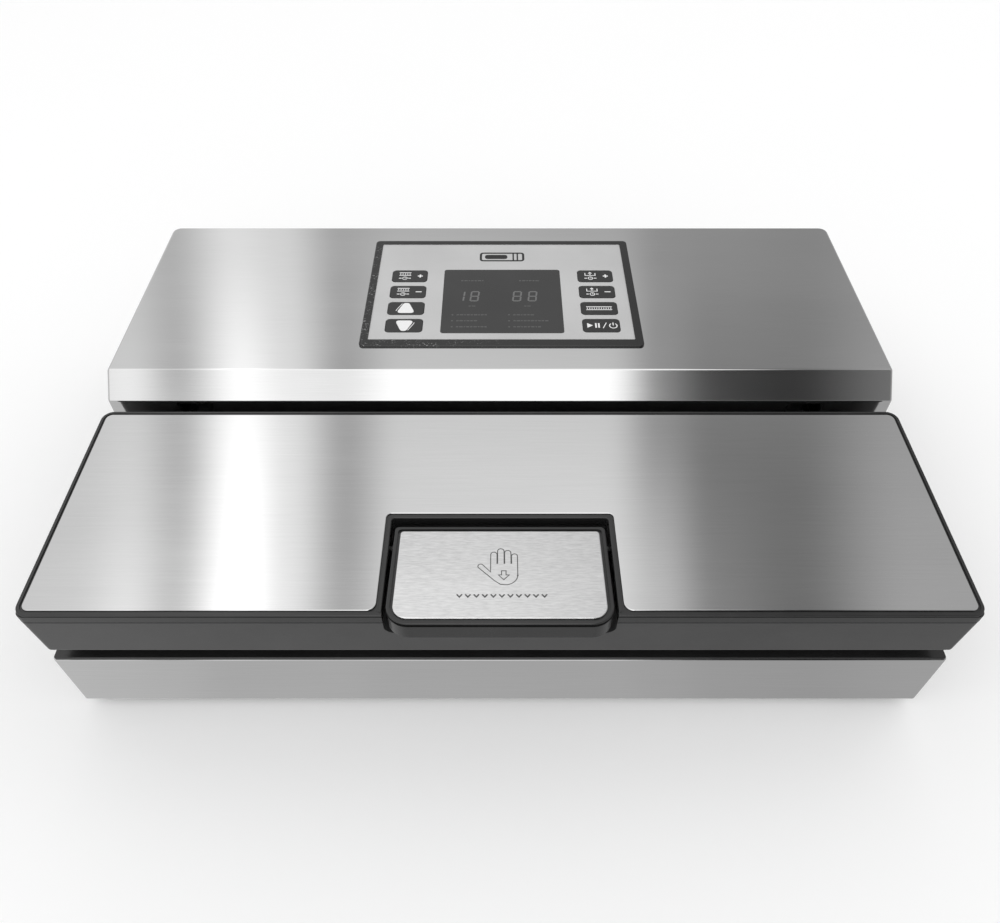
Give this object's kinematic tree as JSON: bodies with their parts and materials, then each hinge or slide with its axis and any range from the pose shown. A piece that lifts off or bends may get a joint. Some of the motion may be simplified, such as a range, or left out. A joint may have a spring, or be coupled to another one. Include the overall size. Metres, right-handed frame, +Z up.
{
  "type": "vacuum sealer",
  "caption": "Countertop vacuum sealer with a wide hinged lid, a press handle in its front edge and a raised rear housing with a key panel and display.",
  "frame": {"origin": "on the table, under the centre of the machine's bounding box", "axes": "+X to the machine's right-hand end as its user faces it, -Y towards the user, +Z up"},
  "size_m": [0.5, 0.3415, 0.1241],
  "materials": {
    "polished_steel": "fine satin polish with soft bands",
    "brushed_plate": "short horizontal brushing",
    "black_plastic": "satin moulded, nearly smooth",
    "shell_black": "fine moulded texture",
    "black_steel": "blackened rod",
    "panel_black": "gloss",
    "panel_silver": "silver printed film",
    "display": "smoked window",
    "key_black": "satin printed film",
    "gasket_rubber": "soft foam rubber",
    "silicone": "silicone",
    "foot_rubber": "matte",
    "tray_plastic": "smooth moulded",
    "bar_aluminium": "extruded",
    "heater_wire": "flat resistance strip",
    "release_tape": "woven tape",
    "fittings": "moulded",
    "zinc_steel": "zinc plated",
    "bright_steel": "ground",
    "screw_steel": "zinc plated",
    "rear_black": "powder coat",
    "inlet_black": "moulded",
    "motor_paint": "enamel",
    "core_steel": "varnished laminations",
    "board_green": "solder mask",
    "hose_clear": "silicone tube"
  },
  "bodies": {
    "base": {"base_shell": "polished_steel", "housing_cover": "polished_steel", "deck": "black_plastic", "platform": "black_plastic", "trough": "black_plastic", "panel_bezel": "panel_black", "panel_overlay": "panel_silver", "display_window": "display", "lower_gasket": "gasket_rubber", "rubber_feet": "foot_rubber", "pump_mounts": "foot_rubber", "drip_tray": "tray_plastic", "seal_bar": "bar_aluminium", "pump_heads": "bar_aluminium", "pump_crankcase": "bar_aluminium", "heating_strip": "heater_wire", "sealing_tape": "release_tape", "intake_nozzle": "fittings", "lid_switch": "fittings", "vacuum_sensor": "fittings", "fan_frame": "fittings", "led_digits": "fittings", "strikers": "zinc_steel", "hinge_brackets": "zinc_steel", "pump_cradle": "zinc_steel", "valve_body": "zinc_steel", "hinge_pins": "bright_steel", "case_screws": "screw_steel", "rear_panel": "rear_black", "power_inlet": "inlet_black", "pump_motor": "motor_paint", "transformer": "core_steel", "control_board": "board_green", "power_board": "board_green", "suction_hose": "hose_clear", "sensor_hose": "hose_clear"},
    "lid": {"lid_frame": "black_plastic", "lid_skin": "polished_steel", "lid_lower_shell": "shell_black", "upper_gasket": "gasket_rubber", "pressure_strip": "silicone", "hinge_arms": "zinc_steel", "handle_pin": "black_steel", "handle_springs": "bright_steel", "latch_bearings": "fittings"},
    "handle": {"handle_frame": "black_plastic", "handle_plate": "brushed_plate"},
    "latch": {"latch_shaft": "bright_steel", "latch_hooks": "zinc_steel"},
    "fan": {"fan_rotor": "fittings"},
    "motor": {"motor_rotor": "bright_steel"},
    "valve": {"valve_plunger": "bright_steel"},
    "key_start_body": {"key_start": "key_black"},
    "key_seal_only_body": {"key_seal_only": "key_black"},
    "key_vacuum_less_body": {"key_vacuum_less": "key_black"},
    "key_vacuum_more_body": {"key_vacuum_more": "key_black"},
    "key_down_body": {"key_down": "key_black"},
    "key_up_body": {"key_up": "key_black"},
    "key_seal_less_body": {"key_seal_less": "key_black"},
    "key_seal_more_body": {"key_seal_more": "key_black"}
  },
  "joints": [
    {"name": "lid_hinge", "type": "hinge", "parent": "base", "child": "lid", "pos_m": [0, -0.034, 0.09], "axis": [-1, 0, 0], "range_deg": [0, 65]},
    {"name": "handle_press", "type": "hinge", "parent": "lid", "child": "handle", "pos_m": [0, -0.1116, 0.095], "axis": [1, 0, 0], "range_deg": [0, 4.5], "stiffness_Nm_per_rad": 3, "springref_deg": -6.88, "deforming": ["handle_springs"]},
    {"name": "latch_turn", "type": "hinge", "parent": "lid", "child": "latch", "pos_m": [0, -0.1455, 0.0833], "axis": [1, 0, 0], "range_deg": [0, 22.5]},
    {"name": "fan_spin", "type": "hinge", "parent": "base", "child": "fan", "pos_m": [-0.15, 0.16, 0.09], "axis": [0, 1, 0], "continuous": true},
    {"name": "motor_spin", "type": "hinge", "parent": "base", "child": "motor", "pos_m": [0, 0.095, 0.052], "axis": [1, 0, 0], "continuous": true},
    {"name": "valve_slide", "type": "slide", "parent": "base", "child": "valve", "axis": [0, 0, 1], "range_m": [0, 0.003], "stiffness_N_per_m": 300, "springref_m": -0.002},
    {"name": "key_start_press", "type": "slide", "parent": "base", "child": "key_start_body", "axis": [0, 0, -1], "range_m": [0, 0.0006], "stiffness_N_per_m": 400, "springref_m": -0.001},
    {"name": "key_seal_only_press", "type": "slide", "parent": "base", "child": "key_seal_only_body", "axis": [0, 0, -1], "range_m": [0, 0.0006], "stiffness_N_per_m": 400, "springref_m": -0.001},
    {"name": "key_vacuum_less_press", "type": "slide", "parent": "base", "child": "key_vacuum_less_body", "axis": [0, 0, -1], "range_m": [0, 0.0006], "stiffness_N_per_m": 400, "springref_m": -0.001},
    {"name": "key_vacuum_more_press", "type": "slide", "parent": "base", "child": "key_vacuum_more_body", "axis": [0, 0, -1], "range_m": [0, 0.0006], "stiffness_N_per_m": 400, "springref_m": -0.001},
    {"name": "key_down_press", "type": "slide", "parent": "base", "child": "key_down_body", "axis": [0, 0, -1], "range_m": [0, 0.0006], "stiffness_N_per_m": 400, "springref_m": -0.001},
    {"name": "key_up_press", "type": "slide", "parent": "base", "child": "key_up_body", "axis": [0, 0, -1], "range_m": [0, 0.0006], "stiffness_N_per_m": 400, "springref_m": -0.001},
    {"name": "key_seal_less_press", "type": "slide", "parent": "base", "child": "key_seal_less_body", "axis": [0, 0, -1], "range_m": [0, 0.0006], "stiffness_N_per_m": 400, "springref_m": -0.001},
    {"name": "key_seal_more_press", "type": "slide", "parent": "base", "child": "key_seal_more_body", "axis": [0, 0, -1], "range_m": [0, 0.0006], "stiffness_N_per_m": 400, "springref_m": -0.001}
  ],
  "couplings": [
    {"joint": "latch_turn", "follows": "handle_press", "ratio": 5}
  ]
}
